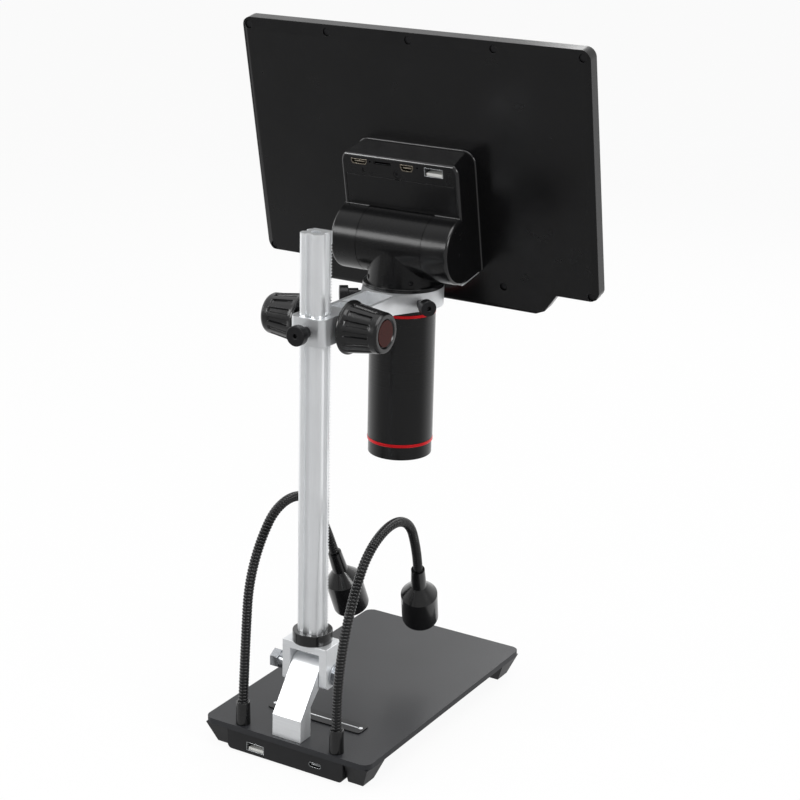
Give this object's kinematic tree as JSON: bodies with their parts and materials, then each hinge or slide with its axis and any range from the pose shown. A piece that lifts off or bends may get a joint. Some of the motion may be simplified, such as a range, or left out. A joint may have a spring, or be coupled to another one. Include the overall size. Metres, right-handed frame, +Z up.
{
  "type": "digital microscope",
  "caption": "Digital microscope: tilting screen and optical tube in a clamp ring, rack focus on a toothed column, base plate with ports and two swinging gooseneck lamps.",
  "frame": {"origin": "on the bench, under the middle of the base plate", "axes": "+Z up; the user sits on the -Y side facing the screen; +X to the user's right; the column and the base's ports are at +Y"},
  "size_m": [0.2418, 0.1964, 0.4351],
  "materials": {
    "plate_coat": "dark grey satin powder coat",
    "black_plastic": "fine-grained moulded plastic",
    "rubber_pad": "plain rubber",
    "strip_black": "satin black",
    "silver_aluminium": "satin anodised, drawn along its length",
    "zinc_steel": "bright zinc plate",
    "socket_steel": "stamped bright steel",
    "bush_brass": "turned",
    "circuit_board": "solder mask",
    "lamp_board": "white solder mask",
    "black_anodised": "black anodised, fine turned finish",
    "red_anodised": "red anodised",
    "neck_coat": "satin black coat",
    "knob_plastic": "moulded, ribbed",
    "disc_red": "dark red, satin",
    "screw_black": "black oxide",
    "lens_glass": "clear, coated",
    "screen_plastic": "fine-grained moulded plastic",
    "button_plastic": "smooth",
    "display_glass": "glossy, dark when off",
    "display_panel": "dark panel",
    "neck_sheath": "black coiled sheath with a soft shine",
    "lamp_shell": "gloss black",
    "lamp_lens": "frosted"
  },
  "bodies": {
    "base": {"base_plate": "plate_coat", "base_feet": "black_plastic", "foot_pads": "rubber_pad", "base_screws": "zinc_steel", "port_box": "black_plastic", "base_board": "circuit_board", "base_sockets": "socket_steel", "cover_strip": "strip_black", "strip_rail": "silver_aluminium", "column_bracket": "silver_aluminium", "lamp_sleeves": "black_plastic", "pivot_bolt": "zinc_steel", "pivot_nut_set": "zinc_steel"},
    "column": {"clevis": "silver_aluminium", "column_screw": "zinc_steel", "collar": "black_plastic", "column": "silver_aluminium"},
    "carriage": {"carriage": "silver_aluminium", "pinion_bushes": "bush_brass"},
    "pinion": {"pinion_shaft": "zinc_steel", "focus_knobs": "knob_plastic", "knob_discs": "disc_red"},
    "lock_screw": {"lock_screw": "screw_black"},
    "clamp_screw_left": {"clamp_screw_left": "screw_black"},
    "clamp_screw_right": {"clamp_screw_right": "screw_black"},
    "head": {"seat_ring": "black_anodised", "neck": "neck_coat", "neck_screws": "screw_black", "red_rings": "red_anodised", "tube": "black_anodised", "end_cap": "black_anodised", "window": "lens_glass", "led_board": "lamp_board", "lens_barrel": "black_anodised", "lenses": "lens_glass", "sensor_board": "circuit_board", "hinge_shaft": "zinc_steel"},
    "screen": {"port_block": "screen_plastic", "hatch": "screen_plastic", "hinge_plates": "silver_aluminium", "port_board": "circuit_board", "port_sockets": "socket_steel", "rear_cover": "screen_plastic", "cover_screws": "zinc_steel", "front_bezel": "screen_plastic", "screen_panel": "display_panel", "screen_glass": "display_glass", "main_board": "circuit_board", "button_board": "circuit_board"},
    "button_1": {"button_1": "button_plastic"},
    "button_2": {"button_2": "button_plastic"},
    "button_3": {"button_3": "button_plastic"},
    "button_4": {"button_4": "button_plastic"},
    "button_5": {"button_5": "button_plastic"},
    "lamp_arm_left": {"gooseneck_left": "neck_sheath", "lamp_left": "lamp_shell", "lamp_lens_left": "lamp_lens"},
    "lamp_arm_right": {"gooseneck_right": "neck_sheath", "lamp_right": "lamp_shell", "lamp_lens_right": "lamp_lens"}
  },
  "joints": [
    {"name": "column_tilt", "type": "hinge", "parent": "base", "child": "column", "pos_m": [0, 0.067, 0.0547], "axis": [1, 0, 0], "range_deg": [-30, 10]},
    {"name": "focus", "type": "slide", "parent": "column", "child": "carriage", "axis": [0, 0, 1], "range_m": [-0.08, 0.04]},
    {"name": "pinion_turn", "type": "hinge", "parent": "carriage", "child": "pinion", "pos_m": [0, 0.0535, 0.2727], "axis": [1, 0, 0], "range_deg": [-364, 728]},
    {"name": "lock_turn", "type": "hinge", "parent": "carriage", "child": "lock_screw", "pos_m": [0, 0.08, 0.2727], "axis": [0, 1, 0], "range_deg": [0, 360]},
    {"name": "clamp_turn_left", "type": "hinge", "parent": "carriage", "child": "clamp_screw_left", "pos_m": [-0.02427, -0.01547, 0.2721], "axis": [-0.809, 0.5878, 0], "range_deg": [0, 360]},
    {"name": "clamp_turn_right", "type": "hinge", "parent": "carriage", "child": "clamp_screw_right", "pos_m": [0.02427, -0.01547, 0.2721], "axis": [0.809, 0.5878, 0], "range_deg": [0, 360]},
    {"name": "head_turn", "type": "hinge", "parent": "carriage", "child": "head", "pos_m": [0, -0.0331, 0.278], "axis": [0, 0, 1], "range_deg": [-30, 30]},
    {"name": "screen_tilt", "type": "hinge", "parent": "head", "child": "screen", "pos_m": [0, -0.0331, 0.3045], "axis": [1, 0, 0], "range_deg": [-33, 3]},
    {"name": "button_1_push", "type": "slide", "parent": "screen", "child": "button_1", "axis": [0, 0.9806, -0.1959], "range_m": [0, 0.0008], "stiffness_N_per_m": 1200, "springref_m": -0.0005},
    {"name": "button_2_push", "type": "slide", "parent": "screen", "child": "button_2", "axis": [0, 0.9806, -0.1959], "range_m": [0, 0.0008], "stiffness_N_per_m": 1200, "springref_m": -0.0005},
    {"name": "button_3_push", "type": "slide", "parent": "screen", "child": "button_3", "axis": [0, 0.9806, -0.1959], "range_m": [0, 0.0008], "stiffness_N_per_m": 1200, "springref_m": -0.0005},
    {"name": "button_4_push", "type": "slide", "parent": "screen", "child": "button_4", "axis": [0, 0.9806, -0.1959], "range_m": [0, 0.0008], "stiffness_N_per_m": 1200, "springref_m": -0.0005},
    {"name": "button_5_push", "type": "slide", "parent": "screen", "child": "button_5", "axis": [0, 0.9806, -0.1959], "range_m": [0, 0.0008], "stiffness_N_per_m": 1200, "springref_m": -0.0005},
    {"name": "lamp_swing_left", "type": "hinge", "parent": "base", "child": "lamp_arm_left", "pos_m": [-0.0343, 0.0923, 0.0332], "axis": [0, 0, 1], "range_deg": [-60, 0]},
    {"name": "lamp_swing_right", "type": "hinge", "parent": "base", "child": "lamp_arm_right", "pos_m": [0.0343, 0.0923, 0.0332], "axis": [0, 0, 1], "range_deg": [0, 60]}
  ],
  "couplings": [
    {"joint": "pinion_turn", "follows": "focus", "rad_per_m": -158.73}
  ]
}
